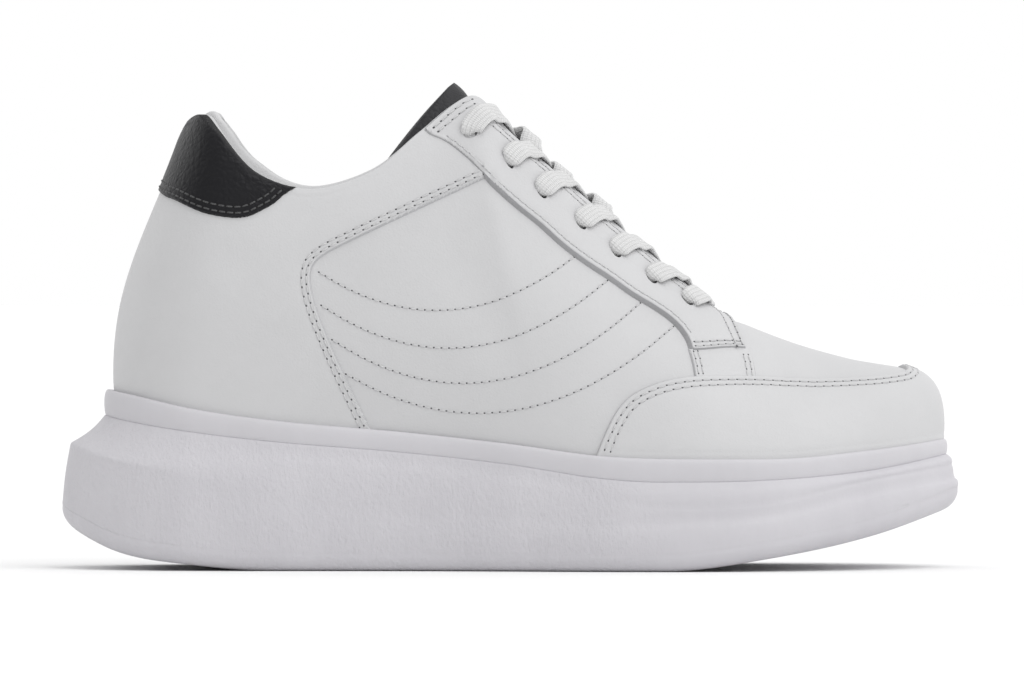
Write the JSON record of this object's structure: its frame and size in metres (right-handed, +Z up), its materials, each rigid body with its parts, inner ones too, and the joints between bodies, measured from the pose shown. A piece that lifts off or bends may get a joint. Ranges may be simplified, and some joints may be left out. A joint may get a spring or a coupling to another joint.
{
  "type": "platform sneaker",
  "caption": "Low lace-up sneaker on a thick rocker platform, with a leather upper, toe rand, eyestay, padded collar, heel tab and flat crossed laces.",
  "frame": {"origin": "on the ground, in the middle of the shoe's length and width", "axes": "+X to the toe, +Y to the inner side of the foot, +Z up"},
  "size_m": [0.2999, 0.1151, 0.1628],
  "materials": {
    "tread_rubber": "matt moulded rubber with cross grooves",
    "sole_rubber": "satin moulded rubber with a fine pebble",
    "footbed": "matt knitted sock over foam",
    "white_leather": "fine-grained coated leather, satin",
    "black_leather": "soft grained black leather, satin",
    "lining": "brushed textile over foam",
    "lace": "flat woven cotton, matt"
  },
  "bodies": {
    "root": {"outsole": "tread_rubber", "midsole": "sole_rubber", "foxing_band": "sole_rubber", "insole": "footbed", "upper": "white_leather", "tongue": "black_leather", "collar_pad": "lining", "heel_tab": "black_leather", "toe_rand": "white_leather", "eyestay": "white_leather", "lace_cross_1": "lace", "lace_cross_2": "lace", "lace_cross_3": "lace", "lace_cross_4": "lace", "lace_cross_5": "lace", "lace_cross_6": "lace", "lace_bar_7": "lace"}
  },
  "joints": []
}
